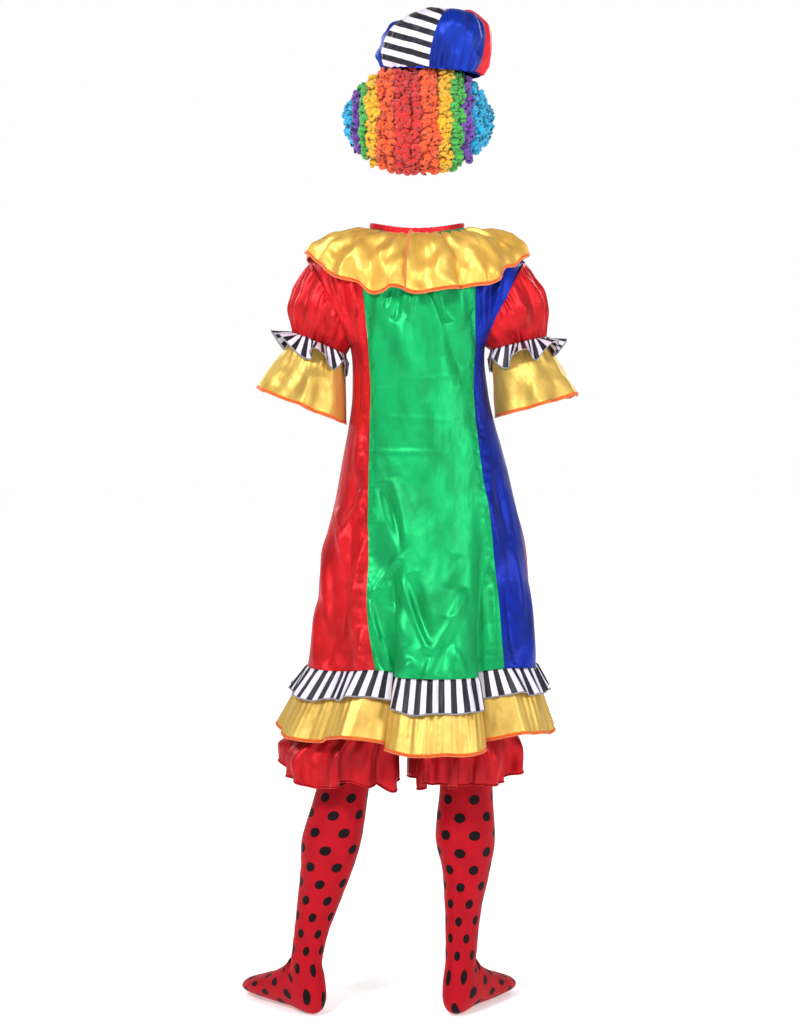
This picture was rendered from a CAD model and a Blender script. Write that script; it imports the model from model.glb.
"""A clown costume in its worn pose: dress, bloomers, stockings, cap and curly wig.

Lengths are in millimetres and heights are above the floor until place() turns them into the
frame's metres. Cloth is a grid of points whose columns run clockwise as seen from above and
whose rows run down. Angles around a ring are in degrees from the back (+Y) towards +X.
"""
import math

import bpy
import numpy as np
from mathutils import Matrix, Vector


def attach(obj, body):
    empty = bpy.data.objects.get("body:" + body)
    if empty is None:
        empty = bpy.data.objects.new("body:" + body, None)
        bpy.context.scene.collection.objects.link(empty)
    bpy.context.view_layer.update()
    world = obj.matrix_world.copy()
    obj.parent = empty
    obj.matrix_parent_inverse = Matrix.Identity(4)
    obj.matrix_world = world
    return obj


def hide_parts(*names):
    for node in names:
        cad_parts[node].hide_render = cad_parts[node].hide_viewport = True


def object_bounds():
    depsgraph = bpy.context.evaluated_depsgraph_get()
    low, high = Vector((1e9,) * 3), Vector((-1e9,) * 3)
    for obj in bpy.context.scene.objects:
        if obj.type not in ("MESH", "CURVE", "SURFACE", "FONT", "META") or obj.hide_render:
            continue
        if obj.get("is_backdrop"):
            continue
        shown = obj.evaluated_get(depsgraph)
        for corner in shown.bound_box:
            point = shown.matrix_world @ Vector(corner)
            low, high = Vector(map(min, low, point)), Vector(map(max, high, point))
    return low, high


MM = 0.001
NECK_HEIGHT = 1430
CLOTH_THICK = 0.7


# ------------------------------------------------------------------ numbers

def table(columns, *rows):
    """Named columns of numbers, one row for each section, fold or place."""
    return {name: np.array(values, float) for name, values in zip(columns.split(), zip(*rows))}


def read(rows, key, name, at):
    """One column of a table, along smooth curves through its rows."""
    x, y = rows[key], rows[name]
    if x[0] > x[-1]:
        x, y = x[::-1], y[::-1]
    slope = np.gradient(y, x)
    slope[1:-1] = (y[2:] - y[:-2]) / (x[2:] - x[:-2])
    i = np.clip(np.searchsorted(x, at) - 1, 0, len(x) - 2)
    step = x[i + 1] - x[i]
    t = np.clip((at - x[i]) / step, 0, 1)
    near = y[i] * (1 + 2 * t) + slope[i] * step * t
    far = y[i + 1] * (3 - 2 * t) + slope[i + 1] * step * (t - 1)
    return near * (1 - t) ** 2 + far * t ** 2


def sine(degrees):
    return np.sin(np.radians(degrees))


def cosine(degrees):
    return np.cos(np.radians(degrees))


def mix(low, high, share):
    return low + (high - low) * share


def smooth(value, low, high):
    share = np.clip((value - low) / (high - low), 0, 1)
    return share * share * (3 - 2 * share)


def stack(x, y, z):
    return np.stack(np.broadcast_arrays(x, y, z), axis=-1)


def grid(columns, rows):
    """Shares across and down, as arrays of rows by columns."""
    return np.meshgrid(np.linspace(0, 1, columns), np.linspace(0, 1, rows))


LATTICE = np.random.default_rng(5).random((32, 32, 32)) * 2 - 1


def noise(points, size, shift=0.0):
    """Smooth noise between -1 and 1, with lumps `size` across (one size, or one an axis)."""
    spot = points / np.asarray(size, float) + shift
    low = np.floor(spot).astype(int)
    part = spot - low
    part = part * part * (3 - 2 * part)
    total = 0
    for corner in np.ndindex(2, 2, 2):
        cell = (low + corner) % 32
        weight = np.prod(np.where(corner, part, 1 - part), axis=-1)
        total = total + weight * LATTICE[cell[..., 0], cell[..., 1], cell[..., 2]]
    return total


def gather(around, waves, phase=0.0):
    """The large uneven waves of a gathered edge, the same as the frame's, -1 to 1."""
    return sine(waves * around + 40 * sine(3 * around + phase) + phase)


def ruffle(around, waves, seed):
    """Small uneven gathers around a full circle, -1 to 1."""
    draw = np.random.default_rng(seed)
    total = 0
    for _ in range(5):
        count = round(waves * draw.uniform(0.6, 1.5))
        warp = draw.uniform(20, 60) * sine(round(draw.uniform(2, 5)) * around + draw.uniform(0, 360))
        total = total + sine(count * around + warp + draw.uniform(0, 360))
    return total / 2.6


# ------------------------------------------------------------------- meshes

def place(points):
    """Millimetres above the floor, as metres in the frame."""
    return (np.asarray(points) - [0, 0, NECK_HEIGHT]) * MM


def normals(points, closed=False):
    """Outward directions at the points of a grid."""
    if closed:
        around = np.concatenate([points[:, -2:-1], points, points[:, 1:2]], axis=1)
        across = (around[:, 2:] - around[:, :-2]) / 2
    else:
        across = np.gradient(points, axis=1)
    out = np.cross(across, np.gradient(points, axis=0))
    return out / np.maximum(np.linalg.norm(out, axis=-1, keepdims=True), 1e-9)


def lift(points, height, closed=False):
    return points + normals(points, closed) * np.asarray(height)[..., None]


def run_lengths(points, axis):
    """Distances in metres along the rows (axis 1) or down the columns (axis 0)."""
    steps = np.linalg.norm(np.diff(points, axis=axis), axis=-1)
    start = np.zeros_like(np.take(steps, [0], axis=axis))
    return np.concatenate([start, np.cumsum(steps, axis=axis)], axis=axis) * MM


def quads(rows, columns):
    """The four corners, as rows and columns, of each quad of a grid of points."""
    j, i = np.mgrid[0:rows - 1, 0:columns - 1].reshape(2, -1)
    return [(j, i), (j, i + 1), (j + 1, i + 1), (j + 1, i)]


def corner_uvs(corners, across, down):
    return np.stack([np.stack([across[c], down[c]], axis=-1) for c in corners], axis=1)


def make_object(name, verts, faces, uvs, material):
    """A smooth mesh object. `uvs` holds one pair of metres for each corner of each face."""
    mesh = bpy.data.meshes.new(name)
    mesh.from_pydata([], [], [])
    mesh.vertices.add(len(verts))
    mesh.vertices.foreach_set("co", np.asarray(verts, np.float32).ravel())
    sides = faces.shape[1]
    mesh.loops.add(faces.size)
    mesh.loops.foreach_set("vertex_index", faces.ravel().astype(np.int32))
    mesh.polygons.add(len(faces))
    mesh.polygons.foreach_set("loop_start", np.arange(0, faces.size, sides, dtype=np.int32))
    layer = mesh.uv_layers.new(name="cloth")
    layer.data.foreach_set("uv", np.asarray(uvs, np.float32).ravel())
    mesh.update(calc_edges=True)
    mesh.validate()
    mesh.shade_smooth()
    mesh.materials.append(material)
    piece = bpy.data.objects.new(f"cloth_{name}", mesh)
    bpy.context.scene.collection.objects.link(piece)
    return piece


def from_edge(points):
    """Distances in metres below the free edge, so negative over the cloth and 0 at its last row."""
    down = run_lengths(points, 0)
    return down - down[-1]


def cloth(name, points, material, closed=False, across=None, down=None, thick=CLOTH_THICK):
    """A sheet of cloth through a grid of points, with its two distances as its UV map."""
    rows, columns = points.shape[:2]
    kept = columns - 1 if closed else columns
    if across is None:
        across = np.broadcast_to(run_lengths(points, 1)[-1], (rows, columns))
    if down is None:
        down = run_lengths(points, 0)
    corners = quads(rows, columns)
    faces = np.stack([row * kept + column % kept for row, column in corners], axis=1)
    uvs = corner_uvs(corners, across, down)
    piece = make_object(name, place(points[:, :kept]).reshape(-1, 3), faces, uvs, material)
    if thick:
        wall = piece.modifiers.new("wall", "SOLIDIFY")
        wall.thickness = thick * MM
        wall.offset = -1
    return piece


def tube_grid(path, radius, sides, closed=False):
    """Rings of points around a path, as a grid of path points by sides."""
    ahead = np.gradient(path, axis=0)
    if closed:
        ahead[0] = ahead[-1] = path[1] - path[-2]
    ahead /= np.linalg.norm(ahead, axis=1, keepdims=True)
    up = np.where(np.abs(ahead[:, 2:]) < 0.9, [[0.0, 0.0, 1.0]], [[1.0, 0.0, 0.0]])
    side = np.cross(ahead, up)
    side /= np.linalg.norm(side, axis=1, keepdims=True)
    other = np.cross(side, ahead)
    turn = np.linspace(0, 2 * np.pi, sides + 1)
    radius = np.broadcast_to(radius, len(path))[:, None, None]
    ring = side[:, None] * np.cos(turn)[None, :, None] + other[:, None] * np.sin(turn)[None, :, None]
    return path[:, None] + radius * ring


def edging(name, path, material, radius=1.1, closed=False):
    """A rolled, overstitched edge along a path."""
    points = tube_grid(path, radius, 8, closed).transpose(1, 0, 2)[::-1]
    along = np.broadcast_to(run_lengths(path[None], 1), points.shape[:2])
    about = np.broadcast_to(np.linspace(0, radius * 6.3 * MM, len(points))[:, None], along.shape)
    rows, columns = points.shape[:2]
    kept = columns - 1 if closed else columns
    corners = quads(rows, columns)
    faces = np.stack([(r % (rows - 1)) * kept + c % kept for r, c in corners], axis=1)
    uvs = corner_uvs(corners, along, about)
    return make_object(name, place(points[:-1, :kept]).reshape(-1, 3), faces, uvs, material)


def stand_for(piece, nodes, slot):
    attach(piece, "root")
    if nodes:
        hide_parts(*nodes)


def edged_ring(name, points, looks, look, thread_look, slot, flat, radius=1.1):
    """A gathered ring of cloth with an overlocked roll along its last row."""
    piece = cloth(name, points, looks[look], closed=True, down=from_edge(points))
    stand_for(piece, [name], slot)
    roll = edging(f"{name}_edging", points[-1], looks[thread_look], radius, closed=True)
    stand_for(roll, [], slot)


# ---------------------------------------------------------------- materials

# Widths of the overlocked bands along the free edges, in metres.
EDGE_BAND = 0.0050
GREY_BAND = 0.0022


class Shader:
    """A node material, with short ways to add nodes and join them up."""

    def __init__(self, name):
        self.material = bpy.data.materials.new(name)
        self.material.use_nodes = True
        self.tree = self.material.node_tree
        self.surface = self.tree.nodes["Principled BSDF"]
        self.uv = self.node("UVMap").outputs["UV"]

    def feed(self, socket, value):
        if isinstance(value, bpy.types.NodeSocket):
            self.tree.links.new(value, socket)
        else:
            socket.default_value = value

    def node(self, kind, inputs=None, **settings):
        node = self.tree.nodes.new("ShaderNode" + kind)
        for key, value in settings.items():
            setattr(node, key, value)
        for key, value in (inputs or {}).items():
            self.feed(node.inputs[key], value)
        return node

    def math(self, operation, first, second=0.0):
        return self.node("Math", {0: first, 1: second}, operation=operation).outputs[0]

    def scaled(self, size, turn=0.0):
        """The UV map in units of `size` metres, one size an axis."""
        steps = (1 / size[0], 1 / size[1], 1.0)
        settings = {"Vector": self.uv, "Scale": steps, "Rotation": (0, 0, math.radians(turn))}
        return self.node("Mapping", settings).outputs[0]

    def noise(self, size, detail=2.0, turn=0.0):
        inputs = {"Vector": self.scaled(size, turn), "Scale": 1.0, "Detail": detail}
        return self.node("TexNoise", inputs).outputs["Fac"]

    def blend(self, share, first, second):
        node = self.node("Mix", data_type="RGBA")
        self.feed(node.inputs["Factor"], share)
        for socket, value in ((node.inputs[6], first), (node.inputs[7], second)):
            self.feed(socket, value)
        return node.outputs[2]

    def ramp(self, value, low, high):
        inputs = {"Value": value, "From Min": low, "From Max": high}
        return self.node("MapRange", inputs, interpolation_type="SMOOTHSTEP").outputs[0]

    def bump(self, height, depth, below=None):
        inputs = {"Height": height, "Distance": depth, "Strength": 1.0}
        if below is not None:
            inputs["Normal"] = below
        return self.node("Bump", inputs).outputs[0]

    def finish(self, colour, normal, **values):
        self.feed(self.surface.inputs["Base Color"], colour)
        self.feed(self.surface.inputs["Normal"], normal)
        for key, value in values.items():
            self.feed(self.surface.inputs[key.replace("_", " ")], value)
        return self.material


def rgb(text):
    """A linear colour from an sRGB code such as C8202A."""
    parts = [int(text[i:i + 2], 16) / 255 for i in (0, 2, 4)]
    return (*[p / 12.92 if p < 0.04 else ((p + 0.055) / 1.055) ** 2.4 for p in parts], 1.0)


def satin_relief(shader, crumple=0.5):
    """Fine threads, and the small soft dents of satin that has been packed."""
    threads = shader.bump(shader.noise((0.0012, 0.00025), 1.0), 0.00003)
    dents = shader.bump(shader.noise((0.034, 0.055), 2.0, 20), 0.0017 * crumple, threads)
    return shader.bump(shader.noise((0.012, 0.022), 1.0, -25), 0.00028 * crumple, dents)


def satin_values(**changed):
    values = {"Roughness": 0.45, "Metallic": 0.55, "Anisotropic": 0.5, "Specular_IOR_Level": 0.4,
              "Sheen_Weight": 0.05, "Sheen_Roughness": 0.4}
    values.update(changed)
    return values


def satin(name, colour, shade, crumple=0.5, edge=None, **changed):
    """Plain satin. `edge` gives the two colours of the stitching along its free edge."""
    shader = Shader(name)
    cloudy = shader.ramp(shader.noise((0.05, 0.09), 3.0), 0.38, 0.68)
    face = shader.blend(shader.math("MULTIPLY", cloudy, 0.55), rgb(colour), rgb(shade))
    normal = satin_relief(shader, crumple)
    if edge:
        down = shader.node("SeparateXYZ", {0: shader.uv}).outputs[1]
        wobble = shader.math("MULTIPLY", shader.noise((0.003, 0.05), 1.0), 0.0014)
        band = shader.ramp(shader.math("ADD", down, wobble), -EDGE_BAND, 0.0006 - EDGE_BAND)
        stitches = shader.node("TexWave", {"Vector": shader.scaled((0.0018, 0.004), 35),
                                           "Scale": 0.3, "Distortion": 1.0})
        thread = shader.blend(stitches.outputs["Fac"], rgb(edge[0]), rgb(edge[1]))
        face = shader.blend(band, face, thread)
        raised = shader.math("MULTIPLY", band, stitches.outputs["Fac"])
        normal = shader.bump(raised, 0.0005, normal)
    return shader.finish(face, normal, **satin_values(**changed))


def striped_satin(name, pair, dark="0C0C14", light="E4DFF0", along=0, edged=True, slant=0.0):
    """Satin with even stripes; `pair` is a dark and a light one, and `slant` is their slope."""
    shader = Shader(name)
    axes = shader.node("SeparateXYZ", {0: shader.uv})
    wobble = shader.math("MULTIPLY", shader.noise((0.03, 0.03), 1.0), 0.0012)
    sloped = shader.math("MULTIPLY", axes.outputs[1 - along], slant)
    run = shader.math("ADD", shader.math("ADD", axes.outputs[along], sloped), wobble)
    part = shader.math("FRACT", shader.math("DIVIDE", run, pair))
    wave = shader.math("ABSOLUTE", shader.math("SUBTRACT", part, 0.5))
    share = shader.ramp(wave, 0.235, 0.265)
    face = shader.blend(share, rgb(dark), rgb(light))
    cloudy = shader.math("MULTIPLY", shader.noise((0.02, 0.02), 2.0), 0.12)
    face = shader.blend(cloudy, face, rgb("706880"))
    if edged:
        band = shader.ramp(axes.outputs[1], -GREY_BAND, 0.0004 - GREY_BAND)
        face = shader.blend(band, face, rgb("8C8C98"))
    values = satin_values(Metallic=0.0, Specular_IOR_Level=0.25)
    return shader.finish(face, satin_relief(shader), **values)


def thread(name, light, dark):
    """Overlock stitching: short slanting threads side by side."""
    shader = Shader(name)
    stitches = shader.node("TexWave", {"Vector": shader.scaled((0.0016, 0.006), 25),
                                       "Scale": 0.3, "Distortion": 1.5})
    face = shader.blend(stitches.outputs["Fac"], rgb(dark), rgb(light))
    normal = shader.bump(stitches.outputs["Fac"], 0.0006)
    return shader.finish(face, normal, Roughness=0.6, Sheen_Weight=0.3)


STOCKING_COLUMNS = 12
DOT = 0.0215
DOT_SQUASH = 1.2
DOT_PITCH = 0.065
DOT_COLUMN = 0.0275


def dotted_knit(name):
    """Fine red knit with black dots in staggered columns around the leg."""
    shader = Shader(name)
    axes = shader.node("SeparateXYZ", {0: shader.uv})
    place_round = shader.math("MULTIPLY", axes.outputs[0], STOCKING_COLUMNS)
    column = shader.math("FLOOR", place_round)
    stagger = shader.math("MULTIPLY", shader.math("MODULO", column, 2.0), 0.5)
    place_down = shader.math("ADD", shader.math("DIVIDE", axes.outputs[1], DOT_PITCH), stagger)
    across = shader.math("SUBTRACT", shader.math("FRACT", place_round), 0.5)
    across = shader.math("MULTIPLY", across, DOT_COLUMN)
    down = shader.math("SUBTRACT", shader.math("FRACT", place_down), 0.5)
    down = shader.math("MULTIPLY", down, DOT_PITCH * DOT_SQUASH)
    away = shader.math("SQRT", shader.math("ADD", shader.math("MULTIPLY", across, across),
                                           shader.math("MULTIPLY", down, down)))
    away = shader.math("ADD", away, shader.math("MULTIPLY", shader.noise((0.05, 0.006), 2.0), 0.0012))
    dot = shader.ramp(away, DOT / 2 + 0.0011, DOT / 2 + 0.0002)
    cloudy = shader.ramp(shader.noise((0.1, 0.05), 3.0), 0.3, 0.75)
    face = shader.blend(shader.math("MULTIPLY", cloudy, 0.4), rgb("B40A1C"), rgb("840614"))
    face = shader.blend(dot, face, rgb("12060A"))
    knit = shader.bump(shader.noise((0.0025, 0.0006), 2.0), 0.0002)
    return shader.finish(face, knit, Roughness=0.6, Specular_IOR_Level=0.12)


def curls(name, colour, shade):
    """Synthetic hair: streaks that run along each curl."""
    shader = Shader(name)
    streaks = shader.noise((0.012, 0.0011), 3.0)
    face = shader.blend(shader.ramp(streaks, 0.3, 0.7), rgb(shade), rgb(colour))
    cloudy = shader.math("MULTIPLY", shader.noise((0.006, 0.02), 2.0), 0.5)
    face = shader.blend(cloudy, face, rgb(shade))
    normal = shader.bump(streaks, 0.0022)
    return shader.finish(face, normal, Roughness=0.55, Sheen_Weight=0.35, Sheen_Roughness=0.5,
                         Specular_IOR_Level=0.3, Anisotropic=0.5)


ORANGE = ("F88838", "E05018")


# ------------------------------------------------------------ shape of the dress

BODY = table(
    "z centre wide back front left_seam right_seam front_seam",
    (1376, 0, 198, 98, 104, 103, -104, 100),
    (1300, 0, 158, 104, 112, 96, -105, 97),
    (1225, -1, 124, 106, 116, 89, -104, 92),
    (1140, -6, 124, 105, 114, 86, -104, 90),
    (1083, -9, 133, 107, 115, 86, -107, 92),
    (1023, -12, 147, 112, 118, 87, -113, 98),
    (941, -15, 165, 121, 124, 89, -126, 105),
    (867, -16, 184, 134, 134, 91, -139, 113),
    (765, -16, 196, 152, 150, 92, -151, 122),
    (634, -12, 211, 174, 172, 88, -161, 132),
)
HEM = 634
SHOULDER_TIP = (198, 1376)
SHOULDER_ROUND = 90
SHOULDER_SAG = 1.6
ARMHOLE = {"low": 1225, "high": 1376, "deep": 78}
NECK = {"wide": 85, "back": 62, "front": 80, "side_high": 1438, "back_high": 1424,
        "front_high": 1408}
FOLD_TOP = 1010
FOLDS = table(
    "around half_angle out",
    (22, 7, -34), (-10, 17, 14), (-36, 7, -34), (50, 10, -14), (70, 9, 9), (104, 10, -16),
    (138, 13, 10), (160, 9, -26), (184, 14, 12), (-150, 9, -24), (-118, 12, 9), (-86, 9, -15),
    (-62, 9, 8),
)
HEM_FRILL = {"z": 577, "centre": -8, "wide": 240, "back": 198, "front": 196, "waves": 13, "wave": 5}
HEM_FLOUNCE = {"z": 505, "centre": -2, "wide": 258, "back": 214, "front": 211, "waves": 13,
               "wave": 6}
FLOUNCE_INSIDE = -3.5
SEAM_GAP = 0.4
# How far the worn hem rides up, round the skirt. The seam above the frill rises by a share of
# it, and the dress from HEM_LIFT_TALL above the seam.
HEM_LIFT_AT_SEAM = 0.45
HEM_LIFT_TALL = 150
HEM_LIFT = table(
    "around up",
    (-180, 0), (-140, 8), (-110, 16), (-88, 24), (-64, 19), (-46, 25), (-37, 12), (-30, 0), (-10, -3),
    (15, 0), (22, 10), (29, 24), (42, 14), (58, 9), (80, 22), (96, 26), (120, 12), (150, 4), (180, 0),
)
# Where the skirt laps over itself: the middle of each lap, its half angle and its sideways shift.
LAPS = table("around half_angle shift", (23, 5, -6.0), (-37, 5, 6.0), (160, 8, -5), (-150, 8, 5))


def turned(around):
    """Angles from -180 to 180."""
    return (np.asarray(around) + 180) % 360 - 180


def hem_lift(around):
    return read(HEM_LIFT, "around", "up", turned(around))


def lap_shift(around, z):
    """How far the deep folds lean sideways, in degrees, growing towards the hem."""
    total = 0
    for middle, half, shift in zip(*LAPS.values()):
        total = total + shift * np.exp(-(turned(around - middle) / half) ** 2)
    return total * smooth(FOLD_TOP - z, 120, FOLD_TOP - HEM)


def fold_out(around, z):
    """How far the long folds stand out of the dress's section."""
    grown = smooth(FOLD_TOP - z, 0, FOLD_TOP - HEM)
    out = 0
    for middle, half, depth in zip(*FOLDS.values()):
        out = out + depth * np.exp(-(turned(around - middle) / half) ** 2)
    return out * grown


def neck_points(around, outward=0.0, up=0.0):
    behind = cosine(around) > 0
    depth = np.where(behind, NECK["back"], NECK["front"])
    middle_high = np.where(behind, NECK["back_high"], NECK["front_high"])
    z = mix(NECK["side_high"], middle_high, cosine(around) ** 2)
    return stack((NECK["wide"] + outward) * sine(around), (depth + outward) * cosine(around), z + up)


def top_edge(station, face):
    neck = neck_points(90 * station if face > 0 else 180 - 90 * station)
    along = np.clip(np.abs(station) - 1, 0, 1)
    x = mix(NECK["wide"], SHOULDER_TIP[0], along) * np.sign(station)
    seam = stack(x, 0, mix(NECK["side_high"], SHOULDER_TIP[1], along ** SHOULDER_SAG))
    return np.where((np.abs(station) <= 1)[..., None], neck, seam)


def body_points(station, face, z):
    """Points of the dress: station 0 at the centre, 1 at the seam, 2 at the side."""
    side = np.where(station < 0, -1, 1)
    away = np.abs(station)
    centre, wide = read(BODY, "z", "centre", z), read(BODY, "z", "wide", z)
    if face > 0:
        seams = np.where(side > 0, read(BODY, "z", "left_seam", z), read(BODY, "z", "right_seam", z))
        seam_across = seams - centre
        depth = read(BODY, "z", "back", z)
    else:
        seam_across = read(BODY, "z", "front_seam", z)
        depth = read(BODY, "z", "front", z)
    seam_angle = np.degrees(np.arcsin(np.clip(np.abs(seam_across) / wide, 0, 1)))
    angle = np.where(away <= 1, away * seam_angle, mix(seam_angle, 90, away - 1))
    around = side * angle if face > 0 else 180 - side * angle
    half = (ARMHOLE["high"] - ARMHOLE["low"]) / 2
    level = np.clip(np.abs((z - ARMHOLE["low"] - half) / half), 0, 1)
    hole = ARMHOLE["deep"] * np.sqrt(1 - level ** 2)
    sideways = np.maximum(0, 1 - cosine(angle) / cosine(seam_angle))
    fold = fold_out(around, z)
    lean = lap_shift(around, z)
    x = centre + (wide + fold) * sine(around + lean)
    y = face * hole * sideways + depth * face * cosine(angle) + fold * cosine(around)
    y += wide * (cosine(around + lean) - cosine(around))
    top = top_edge(station, face)
    sunk = np.clip((top[..., 2] - z) / SHOULDER_ROUND, 0, 1)
    rounded = np.sqrt(1 - (1 - sunk) ** 2)
    near_hem = smooth(HEM + HEM_LIFT_TALL - z, 0, HEM_LIFT_TALL)
    raised = z + HEM_LIFT_AT_SEAM * hem_lift(around) * near_hem
    return stack(mix(top[..., 0], x, rounded), mix(top[..., 1], y, rounded), raised)


# Creases of the back, each from its top to its foot: places, half width, height (troughs are
# negative) and how far the middle bows sideways.
BACK_CREASES = table(
    "x_top z_top x_foot z_foot wide high bow",
    (32, 1335, 40, 1262, 8, -6, 0), (6, 1330, 14, 1262, 7, 4, 2), (-8, 1330, -42, 1246, 5, 4, -4),
    (-40, 1330, -58, 1262, 11, -6, 0), (-76, 1330, -80, 1250, 10, 4, 0),
    (66, 1335, 72, 1240, 9, 4, 0), (50, 1325, 60, 1290, 6, -4, 0),
    (30, 1275, 14, 1160, 15, 5, 3), (-60, 1245, -80, 1150, 15, -5, -3),
    (-20, 1225, -24, 1120, 16, -3, 0), (-38, 1265, -48, 1205, 10, 3, 0),
    (92, 1148, -100, 1172, 3.0, 1.0, -2), (90, 1032, -66, 1030, 3.0, 0.8, 0),
    (84, 1096, -104, 1084, 4.0, 0.5, 2),
    (66, 975, 28, 850, 8, -6, -5), (46, 985, 20, 862, 10, 3, -4), (84, 900, 62, 790, 22, -5, 6),
    (27, 847, 84, 771, 6, 5, 6), (27, 812, -26, 670, 6, 7, 6), (12, 815, -16, 690, 14, -8, 4),
    (-86, 790, -26, 672, 9, 7, -3), (-26, 674, -12, 622, 7, 5, 0), (-56, 740, -40, 640, 12, -6, 0),
    (-108, 850, -114, 640, 12, -3, 0), (-140, 820, -146, 640, 9, 5, 0),
    (86, 770, 46, 644, 6, 6, 8), (74, 700, 66, 634, 10, -7, 0), (48, 760, 20, 690, 12, 4, -3),
    (-62, 690, -84, 636, 8, 4, 0), (10, 668, 30, 634, 8, 4, 0), (-70, 850, -52, 790, 14, -3, 0),
    (96, 968, 136, 852, 9, 6, 4), (112, 985, 122, 880, 8, -5, 0), (150, 930, 128, 800, 8, 5, -4),
    (93, 880, 114, 758, 7, 5, 3), (112, 800, 140, 650, 10, 7, -6), (166, 880, 152, 664, 10, 6, 4),
    (130, 780, 122, 640, 9, -6, 0), (98, 720, 104, 640, 8, 5, 0), (178, 760, 184, 640, 9, 5, 0),
    (150, 700, 166, 640, 8, -5, 0), (100, 1080, 112, 985, 6, 3, 0), (104, 1180, 108, 1090, 6, -3, 0),
    (-122, 960, -150, 840, 8, 4, 0), (-140, 1000, -168, 870, 8, -5, 0),
    (-172, 860, -186, 690, 9, 6, -3), (-160, 800, -176, 650, 8, -6, 0), (-198, 800, -204, 650, 9, 5, 0),
    (-116, 1330, -122, 1240, 5, 4, 0), (-132, 1345, -130, 1260, 5, -4, 0), (-150, 1350, -142, 1290, 5, 4, 0),
    (118, 1345, 112, 1250, 6, 4, 0), (138, 1350, 126, 1270, 5, -4, 0), (158, 1350, 142, 1290, 5, 4, 0),
)


# How much deeper the creases are made than the tables say.
CREASE_DEPTH = 1.5


def scattered_creases(seed, count):
    """Long soft creases for a side that isn't seen, like those of the back."""
    draw = np.random.default_rng(seed)
    rows = []
    for _ in range(count):
        z_top = draw.uniform(720, 1300)
        length = draw.uniform(70, 200)
        x = draw.uniform(-150, 150) * (0.7 + 0.3 * (z_top < 1000))
        wide = draw.uniform(5, 13)
        high = draw.choice([-1, 1]) * draw.uniform(0.4, 0.65) * wide
        z_foot = max(z_top - length, 636)
        rows.append((x, z_top, x * 1.1 + draw.uniform(-34, 34), z_foot, wide, high, draw.uniform(-6, 6)))
    return table("x_top z_top x_foot z_foot wide high bow", *rows)


def crease_height(points, creases):
    """The sum of soft creases over points, by their places across and up."""
    x, z = points[..., 0], points[..., 2]
    total = np.zeros(x.shape)
    for x_top, z_top, x_foot, z_foot, wide, high, bow in zip(*creases.values()):
        run = np.array([x_foot - x_top, z_foot - z_top])
        length = np.hypot(*run)
        along = ((x - x_top) * run[0] + (z - z_top) * run[1]) / length ** 2
        inside = (along > 0) & (along < 1)
        share = np.clip(along, 0, 1)
        middle = x_top + run[0] * share + bow * np.sin(np.pi * share)
        level = z_top + run[1] * share
        away = np.hypot(x - middle, z - level)
        total += inside * high * np.exp(-(away / wide) ** 2) * np.sin(np.pi * share) ** 0.7
    return total


def seam_pucker(points, seam_distance, seed):
    """Short level puckers that a tight seam pulls into the cloth beside it."""
    z = points[..., 2]
    draw = np.random.default_rng(seed)
    total = np.zeros(z.shape)
    level = 1340.0
    while level > HEM:
        tall, long, high = draw.uniform(2.5, 5.5), draw.uniform(6, 17), draw.uniform(0.8, 3.8)
        high *= mix(0.4, 1, smooth(level, 760, 960))
        reach = np.exp(-((seam_distance - 0.45 * long) / (0.45 * long)) ** 2)
        slope = seam_distance * draw.uniform(-0.4, 0.4)
        total += -high * reach * np.exp(-((z - level - slope) / tall) ** 2)
        level -= draw.uniform(8, 30)
    return total * smooth(seam_distance, 0, 5)


def dress_relief(points, station, face, seed):
    creases = BACK_CREASES if face > 0 else scattered_creases(seed, 34)
    height = CREASE_DEPTH * crease_height(points, creases) * (1 - smooth(np.abs(station), 1.8, 2.0))
    seam = np.abs(np.abs(station) - 1)
    seam_distance = seam * np.where(np.abs(station) < 1, 105, 70)
    height += seam_pucker(points, seam_distance, 11 + (station.mean() > 0))
    height += -1.4 * np.exp(-(seam_distance / 4) ** 2)
    calm = smooth(np.abs(points[..., 2] - 1340), 0, 60) * smooth(2.0 - np.abs(station), 0, 0.2)
    height += 2.4 * noise(points, (46, 60, 95), 3.1) * calm
    height += 0.9 * noise(points, (17, 22, 30), 7.7) * calm
    low = smooth(HEM + 22 - points[..., 2], 0, 22)
    return height + 1.5 * low * noise(points, (9, 9, 60), 1.3)


def dress_panel(name, material, slot, face, from_station, to_station):
    columns = 84 if abs(to_station - from_station) > 1 else 48
    u, v = grid(columns, 220)
    station = mix(from_station, to_station, u)
    top = top_edge(station, face)[..., 2]
    points = body_points(station, face, mix(top, HEM, v))
    points = lift(points, dress_relief(points, station, face, 3))
    piece = cloth(name, points, material, thick=0)
    stand_for(piece, [name], slot)
    return piece


def hem_points(layer, around, v, outward):
    behind = cosine(around) > 0
    seam_deep = np.where(behind, BODY["back"][-1], BODY["front"][-1])
    layer_deep = np.where(behind, layer["back"], layer["front"])
    wave = layer["wave"] * v * gather(around, layer["waves"], 50) + outward
    out = fold_out(around, HEM) * (1 + 0.15 * v) + wave
    leant = around + lap_shift(around, HEM) * (1 + 0.3 * v)
    return stack(
        mix(BODY["centre"][-1], layer["centre"], v)
        + (mix(BODY["wide"][-1], layer["wide"], v) + out) * sine(leant),
        (mix(seam_deep, layer_deep, v) + out) * cosine(leant),
        mix(HEM - SEAM_GAP, layer["z"], v) + hem_lift(around) * mix(HEM_LIFT_AT_SEAM, 1, v),
    )


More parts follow.
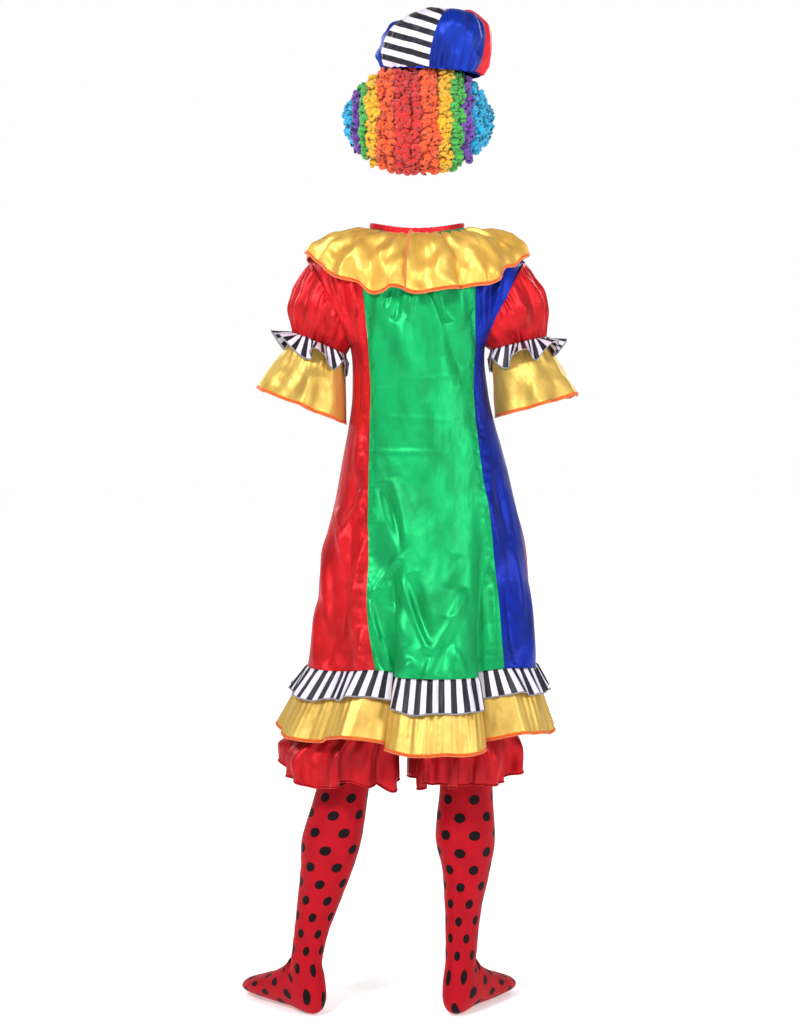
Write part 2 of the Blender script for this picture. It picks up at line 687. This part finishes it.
def hem_layer(layer, outward, columns, rows, seed, fine, swing):
    """One gathered layer of the hem, with small gathers that open out towards its edge."""
    u, v = grid(columns, rows)
    around = 360 * u
    points = hem_points(layer, around, v, outward)
    small = fine * (1 - 0.7 * v) * smooth(v, 0, 0.15) * ruffle(around, 74, seed)
    middle = swing * v * ruffle(around, 27, seed + 1)
    points = lift(points, small + middle, closed=True)
    points[..., 2] += 3 * v * ruffle(around, 15, seed + 2)
    return points


# ------------------------------------------------------------------ the scene

def make_materials():
    return {
        "red": satin("red satin", "D2141E", "86040A", 1.5),
        "green": satin("green satin", "00AC60", "007C40", 1.0),
        "blue": satin("blue satin", "0026A0", "000E50", 1.4),
        "bloomer": satin("bloomer satin", "C4101C", "84040A", 1.3),
        "collar": satin("collar satin", "EBC05C", "CC9430", 1.3, edge=ORANGE),
        "hem_gold": satin("flounce satin", "DEB95E", "B48C38", 1.5, edge=ORANGE),
        "hem_stripe": striped_satin("frill stripes", 0.0240),
        "cap_stripe": striped_satin("cap stripes", 0.0205, along=1, edged=False, slant=0.2),
        "binding": satin("binding tape", "E01828", "A80C18", 0.3),
        "cap_blue": satin("cap blue satin", "0030A8", "001258", 0.9),
        "cap_red": satin("cap red satin", "F02030", "A0101C", 0.9),
        "orange_thread": thread("orange overlock", *ORANGE),
        "grey_thread": thread("grey overlock", "B8B8C0", "686870"),
        "knit": dotted_knit("dotted knit"),
    }


def add_dress(looks):
    panels = [
        dress_panel("back_right", looks["blue"], "blue_satin", 1, -2, -1),
        dress_panel("back_centre", looks["green"], "green_satin", 1, -1, 1),
        dress_panel("back_left", looks["red"], "red_satin", 1, 1, 2),
        dress_panel("front_left", looks["blue"], "blue_satin", -1, 2, 1),
        dress_panel("front_centre", looks["green"], "green_satin", -1, 1, -1),
        dress_panel("front_right", looks["red"], "red_satin", -1, -1, -2),
    ]


# The looks of a ring's cloth and of its edge, and its slot; and the grey roll's radius.
STRIPED_EDGED = ("hem_stripe", "grey_thread", "striped_satin")
GOLD_EDGED = ("hem_gold", "orange_thread", "gold_satin")
GREY_ROLL = 0.7


def add_hem(looks):
    points = hem_layer(HEM_FRILL, 0, 760, 14, 21, 2.2, 4.0)
    edged_ring("hem_frill", points, looks, *STRIPED_EDGED, (1.6, 0.062), GREY_ROLL)
    points = hem_layer(HEM_FLOUNCE, FLOUNCE_INSIDE, 640, 26, 31, 2.0, 4.0)
    edged_ring("hem_flounce", points, looks, *GOLD_EDGED, (1.62, 0.131))


# Sleeves, each an armhole ring, an elastic ring and the flounce's lower ring.
SLEEVES = {
    "left": {
        "side": 1, "puff": 19,
        "elastic": {"x": 178, "z": 1229, "wide": 49, "deep": 52, "slope": 0.42},
        "flounce": {"x": 209, "z": 1113, "wide": 81, "deep": 80, "slope": 0.40},
    },
    "right": {
        "side": -1, "puff": 20,
        "elastic": {"x": 185, "z": 1229, "wide": 51, "deep": 52, "slope": 0.25},
        "flounce": {"x": 221, "z": 1115, "wide": 78, "deep": 80, "slope": 0.28},
    },
}


def arm_ring(ring, side, around, outward=0.0, lower=0.0):
    across = (ring["wide"] + outward) * sine(around)
    return stack(
        side * ring["x"] + across,
        (ring["deep"] + outward) * cosine(around),
        ring["z"] + side * ring["slope"] * across - lower,
    )


def armhole_points(side, around):
    z = mix(ARMHOLE["low"], ARMHOLE["high"], (1 + side * sine(around)) / 2)
    x = read(BODY, "z", "centre", z) + side * (read(BODY, "z", "wide", z) - 2.5)
    return stack(x, ARMHOLE["deep"] * cosine(around), z)


def openness(side, around):
    """1 round the arm, but 0 on its inner side, next to the dress."""
    return 1 + np.minimum(0, side * sine(around))


def add_sleeve(name, sleeve, looks):
    side, seed = sleeve["side"], 40 if sleeve["side"] > 0 else 50
    u, v = grid(200, 54)
    around = 360 * u
    open_share = openness(side, around)
    points = mix(armhole_points(side, around), arm_ring(sleeve["elastic"], side, around), v[..., None])
    puff = sleeve["puff"] * sine(180 * v) * open_share
    points += stack(puff * sine(around), puff * cosine(around), 0)
    ends = 1 - smooth(v, 0, 0.4) * (1 - smooth(v, 0.7, 1.0))
    height = 2.8 * ruffle(around, 30, seed) * ends + 6.0 * ruffle(around, 10, seed + 1) * sine(180 * v)
    height += 5.0 * noise(points, (17, 17, 36), 2.2) * sine(180 * v) - 3.0 * sine(180 * v)
    points = lift(points, height * mix(0.15, 1, open_share) * smooth(v, 0, 0.06), closed=True)
    piece = cloth(f"sleeve_{name}", points, looks["red"], closed=True, thick=0)
    stand_for(piece, [f"sleeve_{name}"], "red_satin")


def add_sleeve_frill(name, sleeve, looks):
    side, seed = sleeve["side"], 60 if sleeve["side"] > 0 else 70
    u, v = grid(300, 12)
    around = 360 * u
    open_share = mix(0.1, 1, openness(side, around))
    wave = 13 * v * gather(around, 7, 20 + seed)
    points = arm_ring(sleeve["elastic"], side, around, (30 * v + wave) * open_share, 27 * v - wave + 0.5)
    height = 1.8 * (1 - v) * ruffle(around, 30, seed) + 5.0 * v * ruffle(around, 12, seed + 1)
    height *= smooth(v, 0, 0.2) * open_share
    points = lift(points, height, closed=True)
    edged_ring(f"sleeve_frill_{name}", points, looks, *STRIPED_EDGED, (0.5, 0.036), GREY_ROLL)


def add_sleeve_flounce(name, sleeve, looks):
    side, seed = sleeve["side"], 80 if sleeve["side"] > 0 else 90
    u, v = grid(260, 28)
    around = 360 * u
    top = arm_ring(sleeve["elastic"], side, around, -2.1, 0.5)
    open_share = openness(side, around)
    wave = 5 * v * gather(around, 6, 110) * mix(0.2, 1, open_share)
    foot = arm_ring(sleeve["flounce"], side, around, wave)
    spread = (v ** 1.1)[..., None] * [1.0, 1.0, 0.0] + v[..., None] * [0.0, 0.0, 1.0]
    points = mix(top, foot, spread)
    height = 1.6 * (1 - smooth(v, 0.1, 0.6)) * ruffle(around, 24, seed)
    height += 7.5 * smooth(v, 0.2, 0.9) * ruffle(around, 7, seed + 1)
    height += 4.5 * noise(points, (22, 22, 30), 4.4) * smooth(v, 0.1, 0.5)
    points = lift(points, height * smooth(v, 0, 0.15) * mix(0.15, 1, open_share), closed=True)
    edged_ring(f"sleeve_flounce_{name}", points, looks, *GOLD_EDGED, (0.5, 0.125))


COLLAR = {"wide": 198, "back": 121, "front": 132, "side_high": 1391, "back_high": 1316,
          "front_high": 1304, "neck_out": 4, "neck_up": -1.5, "from": 4, "to": 366}


def add_collar(looks):
    u, v = grid(480, 28)
    around = mix(COLLAR["from"], COLLAR["to"], u)
    neck = neck_points(around, COLLAR["neck_out"], COLLAR["neck_up"])
    behind = cosine(around) > 0
    depth = np.where(behind, COLLAR["back"], COLLAR["front"])
    middle_high = np.where(behind, COLLAR["back_high"], COLLAR["front_high"])
    edge_high = mix(middle_high, COLLAR["side_high"], np.abs(sine(around)) ** 3)
    lap = 9 * smooth(around, 338, COLLAR["to"])
    wave = 5.5 * v * gather(around, 15) + lap * (0.3 + 0.7 * v)
    spread, fallen = sine(90 * v), 1 - cosine(90 * v)
    points = stack(
        mix(neck[..., 0], COLLAR["wide"] * sine(around), spread) + wave * sine(around),
        mix(neck[..., 1], depth * cosine(around), spread) + wave * cosine(around),
        mix(neck[..., 2], edge_high, fallen) + wave * (1 - v),
    )
    height = 2.8 * (1 - smooth(v, 0.15, 0.8)) * smooth(v, 0, 0.1) * ruffle(around, 34, 7)
    warped = around + 9 * noise(points, 34.0, 2.2) * v
    height += 7.5 * smooth(v, 0.02, 0.6) * (0.15 + ruffle(warped, 15, 8))
    height += 4.0 * noise(points, (16, 16, 22), 5.5) * smooth(v, 0, 0.3)
    points = lift(points, height)
    points[..., 2] += 4.5 * v ** 2 * ruffle(around, 12, 9)
    piece = cloth("collar", points, looks["collar"], down=from_edge(points))
    stand_for(piece, ["collar"], "gold_satin")
    rim = np.concatenate([points[:, 0], points[-1, 1:-1], points[::-1, -1]])
    roll = edging("collar_edging", rim, looks["orange_thread"], 1.7)
    stand_for(roll, [], "gold_satin")


def add_binding(looks):
    """Tape folded over the neck's edge: up its outside, over the top and down its inside."""
    u, v = grid(240, 15)
    around = 360 * u
    turn = 180 * smooth(v, 0.36, 0.64)
    leg = np.where(v < 0.5, 0.36 - np.minimum(v, 0.36), np.maximum(v, 0.64) - 0.64) / 0.36
    outward = 1.2 * cosine(turn) - 0.2
    points = neck_points(around, outward, 8.0 - 11.0 * leg + 1.2 * sine(turn))[::-1]
    points = lift(points, 0.3 * ruffle(around, 60, 3), closed=True)[::-1]
    piece = cloth("neck_tape", points, looks["binding"], closed=True, thick=0)
    stand_for(piece, ["neck_binding"], "red_binding")


# ------------------------------------------------------ bloomers and stockings

BLOOMERS = table(
    "z middle left right deep split apart wave",
    (960, 0, 112, -116, 84, 0, 0.3, 0), (880, 0, 134, -146, 100, 0.2, 0.3, 0),
    (800, 4, 148, -160, 108, 0.5, 0.3, 0), (710, 12, 158, -168, 110, 1, 1, 0),
    (600, 18, 170, -180, 112, 1, 4, 2), (520, 22, 210, -184, 116, 1, 9, 5),
    (478, 22, 250, -194, 119, 1, 13, 9), (432, 22, 252, -192, 118, 1, 13, 10),
)


def add_bloomer_half(name, side, looks):
    u, v = grid(220, 80)
    z = mix(BLOOMERS["z"][0], BLOOMERS["z"][-1], v)
    part = {key: read(BLOOMERS, "z", key, z) for key in BLOOMERS}
    inner = part["middle"] + side * part["apart"]
    outer = part["left"] if side > 0 else part["right"]
    centre = mix(inner, (inner + outer) / 2, np.clip(part["split"], 0, 1))
    wide = np.abs(outer - centre)
    half = 90 + np.degrees(np.arcsin(np.clip(np.abs(centre - inner) / wide, 0, 1)))
    around = side * 90 + (2 * u - 1) * half
    out = part["wave"] * gather(around, 9, side * 30)
    points = stack(centre + (wide + out) * sine(around), (part["deep"] + out) * cosine(around), z)
    low = smooth(v, 0.72, 1.0)
    edge = smooth(u, 0, 0.04) * (1 - smooth(u, 0.96, 1.0))
    height = 8.0 * low * ruffle(around, 12, 100 + side) + 3.0 * low ** 3 * ruffle(around, 24, 102 + side)
    height += 4.0 * (noise(points, (24, 24, 44), 6.6) - 1) + 2.0 * noise(points, (10, 10, 24), 1.6)
    points = lift(points, height * edge)
    outer = np.maximum(0, side * sine(around)) ** 6
    droop = 18 * np.exp(-(turned(around + side * 62) / 9) ** 2)
    points[..., 2] += low * (5 * ruffle(around, 6, 104 + side) + 28 * outer - droop) * edge
    piece = cloth(name, points, looks["bloomer"])
    stand_for(piece, [name], "red_satin")
    roll = edging(f"{name}_hem", points[-1], looks["bloomer"], 1.3)
    stand_for(roll, [], "red_satin")


LEGS = {
    "left": table(
        "x y z wide deep lean",
        (108, 0, 560, 64, 66, 0), (122, 0, 490, 54, 57, 0), (134, 4, 422, 46, 52, 0),
        (155, 8, 326, 54, 57, 0), (165, 9, 267, 48, 50, 0), (181, 9, 201, 38, 41, 0),
        (193, 9, 152, 31, 35, 0), (203, 9, 95, 27, 33, 0)),
    "right": table(
        "x y z wide deep lean",
        (-96, 0, 560, 64, 66, 0), (-93, 0, 490, 55, 58, 0), (-91, 4, 422, 48, 52, 0),
        (-89, 8, 326, 54, 57, 0), (-91, 9, 267, 44, 49, 0), (-86, 9, 201, 34, 39, 0),
        (-83, 9, 152, 30, 34, 0), (-81, 9, 95, 27, 33, 0)),
}
FOOT = table(
    "forward z lean wide deep",
    (-2, 72, 16, 29, 41), (3, 50, 45, 31, 60), (40, 42, 72, 35, 42), (84, 32, 84, 40, 31),
    (128, 25, 90, 44, 23), (164, 19, 90, 38, 17), (187, 15, 90, 24, 12), (196, 13, 90, 0, 0),
)
FOOT_TURN = {"left": 35, "right": -27}


def add_stocking(leg, looks):
    turn = FOOT_TURN[leg]
    upper = LEGS[leg]
    rows = {key: np.concatenate([upper[key], FOOT[key]]) for key in ("z", "wide", "deep", "lean")}
    rows["x"] = np.concatenate([upper["x"], upper["x"][-1] + FOOT["forward"] * sine(turn)])
    rows["y"] = np.concatenate([upper["y"], upper["y"][-1] - FOOT["forward"] * cosine(turn)])
    rows["index"] = np.arange(len(rows["z"]), dtype=float)
    last = len(rows["z"]) - 1
    u, v = grid(73, 190)
    part = {key: read(rows, "index", key, v * last) for key in rows}
    wide = np.maximum(part["wide"], 0.4 * (v < 1) + 0.2)
    deep = np.maximum(part["deep"], 0.4 * (v < 1) + 0.2)
    across, behind = wide * sine(360 * u), deep * cosine(360 * u)
    level = behind * cosine(part["lean"])
    points = stack(
        part["x"] + across * cosine(turn) - level * sine(turn),
        part["y"] + across * sine(turn) + level * cosine(turn),
        part["z"] - behind * sine(part["lean"]),
    )
    points = lift(points, 0.5 * noise(points, (30, 30, 14), 8.8) * smooth(v, 0, 0.1), closed=True)
    down = np.broadcast_to(run_lengths(points, 0).mean(axis=1, keepdims=True), u.shape)
    name = f"stocking_{leg}"
    piece = cloth(name, points, looks["knit"], True, across=u, down=down, thick=0)
    stand_for(piece, [name], "dotted_knit")


# ---------------------------------------------------------------- cap and wig

CAP = {"x": -27, "y": 4, "z": 1719, "tall": 112, "wide": 103, "neck": 93, "crown": 3,
       "crown_x": -24, "crown_y": 34, "lean_back": 3, "lean_side": 3, "fullness": 2.4, "tuck": 0.28}
CAP_BAND = {"wide": 88, "top": 14, "foot": -1}
STRIPE_LEAN = 0.12
CAP_PANELS = (
    ("cap_striped_back", "cap_stripe", "striped_satin", 4, 72),
    ("cap_blue_left", "cap_blue", "blue_satin", 72, 129),
    ("cap_red_front", "cap_red", "red_satin", 129, 186),
    ("cap_striped_front", "cap_stripe", "striped_satin", 186, 242),
    ("cap_red_right", "cap_red", "red_satin", 242, 298),
    ("cap_blue_back", "cap_blue", "blue_satin", 298, 364),
)


def lean_cap(points):
    """Turns points about the middle of the cap's opening, as the cap is worn."""
    back, side = math.radians(-CAP["lean_back"]), math.radians(-CAP["lean_side"])
    tilt_back = np.array([[1, 0, 0], [0, math.cos(back), -math.sin(back)],
                          [0, math.sin(back), math.cos(back)]])
    tilt_side = np.array([[math.cos(side), 0, math.sin(side)], [0, 1, 0],
                          [-math.sin(side), 0, math.cos(side)]])
    return points @ (tilt_back @ tilt_side).T + [CAP["x"], CAP["y"], CAP["z"]]


def cap_points(around, v):
    swell = 90 + 90 * CAP["tuck"]
    angle = swell * v
    tucked = (angle - 90) / (swell - 90)
    base = CAP["tall"] * CAP["tuck"]
    power = 2 / CAP["fullness"]
    upper = angle < 90
    out = np.where(upper, mix(CAP["crown"], CAP["wide"], np.abs(sine(angle)) ** power),
                   mix(CAP["neck"], CAP["wide"], 1 - np.clip(tucked, 0, 1) ** 2))
    rise = np.abs(np.where(upper, cosine(angle), 0)) ** power
    up = np.where(upper, base + (CAP["tall"] - base) * rise, base * (1 - tucked))
    pull = (up / CAP["tall"]) ** 2
    dome = stack(out * sine(around) + CAP["crown_x"] * pull,
                 out * cosine(around) + CAP["crown_y"] * pull, up)
    return lean_cap(dome)


def add_cap_panel(name, look, slot, start, end, looks):
    u, v = grid(64, 72)
    around = mix(start, end, u)
    points = cap_points(around, v)
    seam = np.minimum(u, 1 - u)
    puff = 3.0 * smooth(seam, 0, 0.25) * sine(180 * np.clip(v * 1.1, 0, 1)) - 2.5
    gathers = 3.2 * smooth(v, 0.45, 1.0) * ruffle(around, 26, 15)
    soft = 5.0 * noise(points, (24, 24, 19), 9.9) * smooth(seam, 0, 0.15)
    points = lift(points, puff + (gathers + soft) * smooth(v, 0, 0.2))
    down = (STRIPE_LEAN * points[..., 0] - points[..., 2]) * MM if "striped" in name else None
    piece = cloth(name, points, looks[look], down=down, thick=0)
    stand_for(piece, [name], slot)


def add_cap_band(looks):
    u, v = grid(160, 8)
    around = 360 * u
    wide = CAP_BAND["wide"]
    ring = stack(wide * sine(around), wide * cosine(around), mix(CAP_BAND["top"], CAP_BAND["foot"], v))
    points = lift(lean_cap(ring), 0.8 * ruffle(around, 60, 16), closed=True)
    piece = cloth("cap_band", points, looks["cap_blue"], closed=True, thick=0)
    stand_for(piece, ["cap_band"], "blue_satin")


HAIR = {"x": -3, "y": 2, "z": 1626, "wide": 137, "deep": 124, "tall": 110, "fullness": 2.1}
HAIR_FROM, HAIR_TO = -66, 152
# Each colour's slot, bright and shaded fibre.
HAIR_LOOKS = {
    "blue": ("turquoise_curls", "00C8F4", "009CCC"),
    "purple": ("purple_curls", "8848C0", "5A2C98"),
    "green": ("green_curls", "58D050", "2A9A38"),
    "yellow": ("yellow_curls", "FFD418", "E8A008"),
    "orange": ("orange_curls", "FF6818", "E84810"),
    "red": ("red_curls", "F02C20", "C01810"),
}
# The bands across the head, with the angles that they lie between.
HAIR_BANDS = (
    ("blue", "_right", -84, -46), ("purple", "_right", -46, -36), ("green", "_right", -36, -26),
    ("yellow", "_right", -26, -16), ("orange", "_right", -16, -1), ("red", "", -1, 20),
    ("orange", "_left", 20, 34), ("yellow", "_left", 34, 44), ("green", "_left", 44, 53),
    ("purple", "_left", 53, 63), ("blue", "_left", 63, 84),
)
CURL_SPACING = 15.5
CURL_DEPTH = 9.0
MASS_DEPTH = 12.0
CURL_STEPS = 26
CURL_SIDES = 7


def hair_points(band, along, inward=0.0):
    """Places `inward` of the ends of the curls, by band and angle over the head."""
    way = stack(sine(band), cosine(band) * cosine(along), cosine(band) * sine(along))
    power = HAIR["fullness"]
    size = (np.abs(way) ** power).sum(axis=-1, keepdims=True) ** (1 / power)
    reach = np.array([HAIR["wide"], HAIR["deep"], HAIR["tall"]]) - inward
    return way / size * reach + [HAIR["x"], HAIR["y"], HAIR["z"]]


def curl_path(draw, start, out):
    """A ringlet of about two turns that coils outwards from the hair around a leaning axis."""
    turns = draw.uniform(1.7, 2.5)
    radius = draw.uniform(4.2, 6.2)
    length = draw.uniform(12, 20)
    axis = out + draw.normal(0, 0.5, 3) - [0, 0, 0.25]
    axis /= np.linalg.norm(axis)
    side = np.cross(axis, draw.normal(0, 1, 3))
    side /= np.linalg.norm(side)
    other = np.cross(axis, side)
    t = np.linspace(0, 1, CURL_STEPS)
    turn = 2 * np.pi * turns * t + draw.uniform(0, 2 * np.pi)
    reach = radius * (0.5 + 0.5 * np.sin(np.pi * np.clip(0.2 + 0.8 * t, 0, 1)))
    return (start + axis * (length * (t[:, None] - 0.5))
            + side * (reach * np.cos(turn))[:, None] + other * (reach * np.sin(turn))[:, None])


def curl_spots(draw, start, end):
    """Evenly scattered places for curls over one band of the wig, and their outward ways."""
    middle = (start + end) / 2
    ring = hair_points(middle, np.linspace(HAIR_FROM, HAIR_TO, 80))
    rows = max(4, round(run_lengths(ring[None], 1)[0, -1] / MM / CURL_SPACING))
    for row in range(rows):
        along = mix(HAIR_FROM, HAIR_TO, (row + 0.5) / rows)
        gap = np.linalg.norm(hair_points(end, along) - hair_points(start, along))
        count = max(1, round(gap / CURL_SPACING))
        for k in range(count):
            band = mix(start, end, (k + 0.5 + draw.uniform(-0.3, 0.3)) / count)
            spot = hair_points(band, along + draw.uniform(-3, 3), CURL_DEPTH + draw.uniform(-3, 4))
            out = spot - [HAIR["x"], HAIR["y"], HAIR["z"]]
            yield spot, out / np.linalg.norm(out)


def join_grids(grids, step_u, step_v, draw):
    """One list of points, faces and UVs from many grids of points."""
    verts, faces, uvs = [], [], []
    count = 0
    for points in grids:
        rows, columns = points.shape[:2]
        corners = quads(rows, columns)
        shift = draw.uniform(0, 1)
        faces.append(np.stack([count + r * columns + c for r, c in corners], axis=1))
        spots = [np.stack([r * step_u + shift, c * step_v], axis=-1) for r, c in corners]
        uvs.append(np.stack(spots, axis=1))
        verts.append(points.reshape(-1, 3))
        count += rows * columns
    return np.concatenate(verts), np.concatenate(faces), np.concatenate(uvs)


def add_hair_band(hue, side, start, end):
    """One colour of the wig: ringlets over the curly mass below them."""
    name = f"wig_{hue}{side}"
    slot, colour, shade = HAIR_LOOKS[hue]
    draw = np.random.default_rng(number_of(name))
    u, v = grid(16, 90)
    mass = hair_points(mix(start, end, u), mix(HAIR_FROM, HAIR_TO, v), MASS_DEPTH)
    grids = [mass + (3.5 * noise(mass, 11.0, 4.1))[..., None]]
    for spot, out in curl_spots(draw, start, end):
        path = curl_path(draw, spot, out)
        thick = draw.uniform(4.2, 5.4) * np.sin(np.pi * np.linspace(0.1, 0.93, CURL_STEPS)) ** 0.5
        grids.append(tube_grid(path, thick, CURL_SIDES))
    verts, faces, uvs = join_grids(grids, 0.002, 0.0035, draw)
    look = curls(f"{name} curls", colour, shade)
    piece = make_object(name, place(verts), faces, uvs, look)
    stand_for(piece, [name], slot)


def number_of(name):
    """A number that is the same each run for the same name."""
    return sum(ord(letter) * (k + 1) for k, letter in enumerate(name))


# ------------------------------------------------------------- camera and light

CAMERA = {"x": 0.031, "y": 4.0, "height": 1.05, "pitch": -1.86, "view": 26.4}


def add_camera():
    camera = bpy.data.objects.new("camera", bpy.data.cameras.new("camera"))
    camera.data.sensor_fit = "VERTICAL"
    camera.data.angle = math.radians(CAMERA["view"])
    camera.location = (CAMERA["x"], CAMERA["y"], CAMERA["height"] - NECK_HEIGHT * MM)
    camera.rotation_euler = (math.radians(90 + CAMERA["pitch"]), 0, math.radians(180))
    bpy.context.scene.collection.objects.link(camera)
    bpy.context.scene.camera = camera


def add_light(name, place_at, target, size, power):
    light = bpy.data.lights.new(name, "AREA")
    light.size = size
    light.energy = power
    lamp = bpy.data.objects.new(name, light)
    lamp.location = place_at
    way = np.array(target, float) - np.array(place_at, float)
    lamp.rotation_euler = (math.acos(-way[2] / np.linalg.norm(way)), 0,
                           math.atan2(way[1], way[0]) - math.pi / 2)
    bpy.context.scene.collection.objects.link(lamp)


# The studio looks white to the camera. It lights the costume most from straight ahead of the wearer.
WORLD_GLOW = {"From Min": -0.96, "From Max": -0.7, "To Min": 1.0, "To Max": 0.4}
# The floor glows faintly, and more with its distance in metres, so that it fades into white.
FLOOR_GLOW = {"From Min": 1.0, "From Max": 5.0, "To Min": 0.38, "To Max": 0.8}


def add_stage():
    bpy.ops.mesh.primitive_plane_add(size=60, location=(0, 0, -NECK_HEIGHT * MM - 0.001))
    floor = bpy.context.object
    floor.name = "floor"
    shader = Shader("pale floor")
    spot = shader.node("TexCoord").outputs["Object"]
    cloud = shader.node("TexNoise", {"Vector": spot, "Scale": 1.2}).outputs["Fac"]
    face = shader.blend(cloud, rgb("F4F4F6"), rgb("F8F8F8"))
    away = shader.node("VectorMath", {0: spot}, operation="LENGTH").outputs["Value"]
    glow = shader.node("MapRange", {"Value": away, **FLOOR_GLOW}, interpolation_type="SMOOTHSTEP")
    look = shader.finish(face, shader.bump(cloud, 0.0001), Roughness=0.8,
                         Emission_Color=(1, 1, 1, 1), Emission_Strength=glow.outputs[0])
    floor.data.materials.append(look)
    floor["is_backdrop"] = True
    world = bpy.data.worlds.new("studio")
    world.use_nodes = True
    tree = world.node_tree
    way = tree.nodes.new("ShaderNodeTexCoord")
    axes = tree.nodes.new("ShaderNodeSeparateXYZ")
    glow = tree.nodes.new("ShaderNodeMapRange")
    glow.interpolation_type = "SMOOTHSTEP"
    for name, value in WORLD_GLOW.items():
        glow.inputs[name].default_value = value
    tree.links.new(way.outputs["Generated"], axes.inputs[0])
    tree.links.new(axes.outputs["Y"], glow.inputs["Value"])
    seen = tree.nodes.new("ShaderNodeLightPath")
    strength = tree.nodes.new("ShaderNodeMath")
    strength.operation = "MAXIMUM"
    tree.links.new(glow.outputs[0], strength.inputs[0])
    tree.links.new(seen.outputs["Is Camera Ray"], strength.inputs[1])
    tree.links.new(strength.outputs[0], tree.nodes["Background"].inputs["Strength"])
    tree.nodes["Background"].inputs["Color"].default_value = (1, 1, 1, 1)
    bpy.context.scene.world = world
    bpy.context.scene.view_settings.view_transform = "Standard"


def add_lights():
    add_light("key", (1.6, 3.0, 1.6), (0, 0, -0.4), 0.6, 105)
    add_light("fill", (-2.4, 2.6, 0.6), (0, 0, -0.5), 0.8, 42)
    add_light("front_left", (2.2, -2.4, 1.2), (0, 0, -0.4), 1.0, 26)
    add_light("front_right", (-2.0, -2.8, 1.2), (0, 0, -0.4), 1.0, 26)


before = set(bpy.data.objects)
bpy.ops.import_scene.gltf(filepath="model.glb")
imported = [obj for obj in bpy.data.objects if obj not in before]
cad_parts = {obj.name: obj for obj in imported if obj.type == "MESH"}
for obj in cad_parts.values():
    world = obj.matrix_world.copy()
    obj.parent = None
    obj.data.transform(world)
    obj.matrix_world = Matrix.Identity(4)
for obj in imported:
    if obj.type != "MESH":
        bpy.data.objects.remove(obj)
cad_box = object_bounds()
add_camera()
add_stage()
add_lights()
looks = make_materials()
add_dress(looks)
add_hem(looks)
add_binding(looks)
add_collar(looks)
for sleeve_name, sleeve_rows in SLEEVES.items():
    add_sleeve(sleeve_name, sleeve_rows, looks)
    add_sleeve_frill(sleeve_name, sleeve_rows, looks)
    add_sleeve_flounce(sleeve_name, sleeve_rows, looks)
add_bloomer_half("bloomers_left", 1, looks)
add_bloomer_half("bloomers_right", -1, looks)
add_stocking("left", looks)
add_stocking("right", looks)
for cap_panel in CAP_PANELS:
    add_cap_panel(*cap_panel, looks)
add_cap_band(looks)
for hair_band in HAIR_BANDS:
    add_hair_band(*hair_band)

[[list(corner) for corner in box] for box in (cad_box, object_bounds())]
